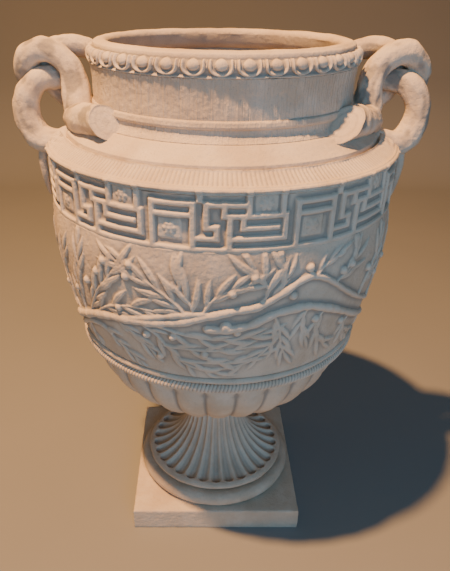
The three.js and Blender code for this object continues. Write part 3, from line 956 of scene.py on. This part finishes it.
def end_cap(rim, rim_start, first_new, inward, is_sawn, flip):
    """The points, painted shade and highlight values, and faces that close an end: stepped like growth rings
    where it is sawn.
    """
    here = np.arange(len(rim))
    after = (here + 1) % len(rim)
    middle = rim.mean(0)
    vertices, relief_shading, faces = [], [], []
    for number, scale in enumerate(SAWN_RINGS if is_sawn else ROUNDED_RINGS):
        sunk = number % 2 == 0
        dip = (1.3 if sunk else 0.6) if is_sawn else -0.2
        vertices.append(middle + (rim - middle) * scale + inward * dip)
        # Painted shade on the even rings, which sink on a sawn end, and a faint painted highlight on the odd
        # ones.
        relief_shading.append(np.full(len(rim), -0.5 if sunk else 0.3))
        corners = [rim_start + here, rim_start + after, first_new + after, first_new + here]
        quads = np.stack(corners, 1)
        faces.extend(quads[:, ::-1] if flip else quads)
        rim_start = first_new
        first_new += len(rim)
    last_ring = rim_start + here
    faces.append(last_ring[::-1] if flip else last_ring)
    return vertices, relief_shading, faces


def swept(name, node, path, radii, seed, sawn, lean):
    """A hand-modelled branch: a round bar with lumps, and ends that are sawn or rounded off."""
    sides = 72
    controls = np.column_stack([np.asarray(path, float), np.asarray(radii, float)])
    length = np.linalg.norm(np.diff(controls[:, :3], axis=0), axis=1).sum()
    count = max(24, int(length / 1.6))
    line = smooth_path(controls, count)
    centre, radius = line[:, :3], line[:, 3]
    forward = np.gradient(centre, axis=0)
    forward /= np.linalg.norm(forward, axis=1)[:, None]
    around = np.arange(sides) * FULL_TURN / sides
    first, second = carried_frames(forward)
    outward = first * np.cos(around)[None, :, None] + second * np.sin(around)[None, :, None]
    shape = radius * end_rounding(count, sawn)
    base = centre[:, None, :] + outward * shape[:, None, None]
    lumps = unevenness(base, make_waves(16, 26, 80, seed)) * 0.065
    bark = unevenness(base, make_waves(30, 9, 26, seed + 50)) * 0.012
    grain = 0.012 * np.sin(around * 9 + 1.3 * np.sin(np.arange(count) * 0.07)[:, None] + seed)
    change = (lumps + bark + grain) * shape[:, None]
    points = base + outward * change[..., None]
    back = np.clip((np.arange(count) / (count - 1) - 0.45) / 0.55, 0, 1)[:, None]
    set_back = lean * back * shape[:, None] * (outward @ VIEWER)
    points -= forward[:, None, :] * set_back[..., None]
    faces = list(grid_faces(count, sides, False)[:, ::-1])
    vertices = [points.reshape(-1, 3)]
    # Painted highlight on raised lumps and bark, and painted shade in their hollows.
    relief_shading = [(change * 1.2).ravel()]
    ends = ((0, sawn[0], forward[0], False), (count - 1, sawn[1], -forward[-1], True))
    for end, is_sawn, inward, flip in ends:
        first_new = sum(len(block) for block in vertices)
        cap = end_cap(points[end], end * sides, first_new, inward, is_sawn, flip)
        vertices.extend(cap[0])
        relief_shading.extend(cap[1])
        faces.extend(cap[2])
    made = make_mesh(name, np.vstack(vertices), faces, CLAY_BRANCH, {"relief_shading": np.concatenate(relief_shading)})
    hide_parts(node)
    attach(made, "root")


# Each branch on the +X side: name, path, radii, and which ends are sawn.
BRANCHES = [
    (
        "ring_branch",
        [(250, 20, 836), (268, 5, 845), (291, -10, 842), (309, -18, 818), (310, -22, 788), (295, -27, 762),
         (268, -33, 754), (240, -42, 762), (214, -52, 778)],
        [14, 17, 19, 20, 20.5, 21, 21, 21, 17], (False, False),
    ),
    (
        "cut_stub",
        [(236, -34, 790), (218, -66, 797), (196, -104, 804), (166, -146, 809)],
        [20, 23, 23, 24], (False, True),
    ),
    (
        "arch_branch",
        [(220, -44, 768), (225, -33, 802), (229, -22, 838), (240, -14, 866), (264, -8, 885), (290, -4, 884),
         (308, 4, 866), (313, 14, 843), (306, 18, 824)],
        [25, 23.5, 20.5, 18.5, 18, 18.5, 18.5, 17, 11], (False, False),
    ),
    (
        "back_branch",
        [(200, 44, 866), (214, 42, 883), (240, 34, 889), (268, 26, 884), (285, 28, 862), (280, 34, 838),
         (258, 40, 812), (234, 44, 800), (204, 52, 794)],
        [12, 15.5, 16.5, 16.5, 16, 16, 16.5, 17, 17], (False, False),
    ),
    (
        "root_twig",
        [(262, -30, 768), (282, -34, 758), (291, -36, 734), (291, -34, 700), (289, -24, 664)],
        [8, 8.5, 7, 5.5, 3], (False, False),
    ),
]

# How far each stub's sawn face leans back from square, towards a viewer above the front.
FACE_LEAN = {"left": 0.55, "right": 1.35}


def make_handles():
    """Both handles: the left one mirrors the right."""
    for word, side in (("right", 1), ("left", -1)):
        for number, (name, path, radii, sawn) in enumerate(BRANCHES):
            mirrored = [(side * x, y, z) for x, y, z in path]
            lean = FACE_LEAN[word] if sawn[1] else 0.0
            seed = 100 + 10 * number + (side > 0)
            swept(f"{name}_{word}_bark", f"{name}_{word}", mirrored, radii, seed, sawn, lean)


make_handles()

for turn in ("front", "back"):
    for level in ("upper", "lower"):
        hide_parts(f"olive_bough_{level}_{turn}")

# ---------------------------------------------------------------- floor and light


def make_floor():
    """A plain pale floor that sweeps up behind into a plain wall."""
    near, depth, width, bend, height = -9.0, 2.6, 12.0, 0.5, 4.0
    bend_steps = 12
    outline = [(near, 0.0), (depth - bend, 0.0)]
    for k in range(1, bend_steps + 1):
        a = math.pi / 2 * k / bend_steps
        outline.append((depth - bend + bend * math.sin(a), bend - bend * math.cos(a)))
    outline.append((depth, height))
    vertices = [(x, y, z) for y, z in outline for x in (-width, width)]
    faces = [(2 * k, 2 * k + 1, 2 * k + 3, 2 * k + 2) for k in range(len(outline) - 1)]
    mesh = bpy.data.meshes.new("studio_floor")
    mesh.from_pydata(vertices, [], faces)
    mesh.polygons.foreach_set("use_smooth", [True] * len(faces))
    n = Nodes("studio_paper")
    paper = n.mix(n.noise(2.0), (0.235, 0.255, 0.265), (0.27, 0.285, 0.29))
    split = n.add("ShaderNodeSeparateXYZ")
    n.link(n.place, split.inputs["Vector"])
    above = n.ranged(split.outputs["Z"], 0.0, 1.0, 0.0, 0.45)
    n.link(n.mix(above, paper, (0.055, 0.055, 0.055)), n.shader.inputs["Base Color"])
    n.shader.inputs["Roughness"].default_value = 0.9
    n.shader.inputs["Specular IOR Level"].default_value = 0.2
    mesh.materials.append(n.material)
    made = bpy.data.objects.new("studio_floor", mesh)
    bpy.context.scene.collection.objects.link(made)


def area_light(name, place, target, size, power, colour):
    """A round lamp that faces its target, in metres and watts."""
    data = bpy.data.lights.new(name, "AREA")
    data.shape = "DISK"
    data.size = size
    data.energy = power
    data.color = colour
    made = bpy.data.objects.new(name, data)
    place = Vector(place)
    aim = (Vector(target) - place).to_track_quat("-Z", "Y")
    made.matrix_world = Matrix.Translation(place) @ aim.to_matrix().to_4x4()
    bpy.context.scene.collection.objects.link(made)


def make_light():
    """A warm lamp high in front on the left, over cool soft fill."""
    area_light("key", (-0.88, -0.68, 3.49), (0, 0, 0.4), 0.15, 285, (1.0, 0.48, 0.16))
    area_light("side_fill", (-2.2, 0.2, 0.8), (0, 0, 0.55), 0.9, 2.0, (1.0, 0.62, 0.26))
    area_light("front_fill", (0.5, -2.6, 1.2), (0, 0, 0.5), 1.6, 26, (0.33, 0.66, 1.0))
    world = bpy.data.worlds.new("studio")
    world.use_nodes = True
    background = world.node_tree.nodes["Background"]
    background.inputs["Color"].default_value = (0.50, 0.54, 0.58, 1.0)
    background.inputs["Strength"].default_value = 0.18
    bpy.context.scene.world = world


make_floor()
make_light()
